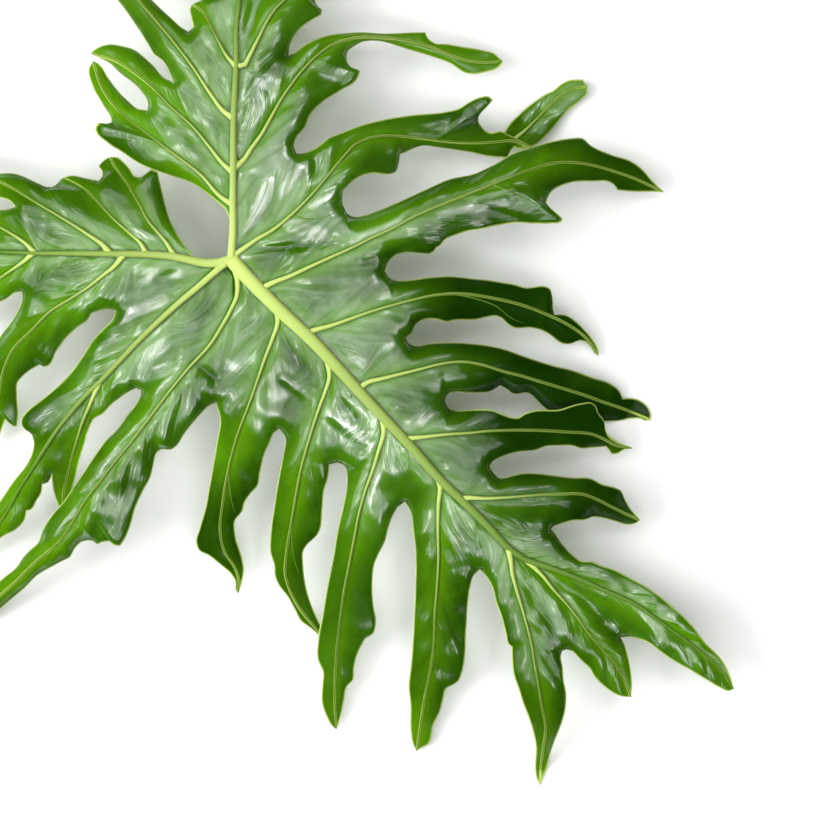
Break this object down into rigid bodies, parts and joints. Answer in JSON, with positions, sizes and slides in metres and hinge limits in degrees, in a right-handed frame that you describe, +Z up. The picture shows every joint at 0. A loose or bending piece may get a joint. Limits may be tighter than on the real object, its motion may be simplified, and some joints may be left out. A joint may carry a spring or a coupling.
{
  "type": "philodendron leaf",
  "caption": "Cut split-leaf philodendron leaf, lying face up: a thin glossy blade cut deeply into waved, drooping lobes, with raised pale veins and a short stem stub beneath.",
  "frame": {"origin": "on the surface the leaf lies on, under the middle of the leaf's bounding box", "axes": "+Z up out of the glossy upper face, -Y towards the tip of the lowest front lobe, +Y towards the top back lobe, +X towards the right lobes"},
  "size_m": [0.4203, 0.4612, 0.0525],
  "materials": {
    "leaf": "glossy waxy green blade, pale yellow-green veins"
  },
  "bodies": {
    "root": {"leaf": "leaf"}
  },
  "joints": []
}
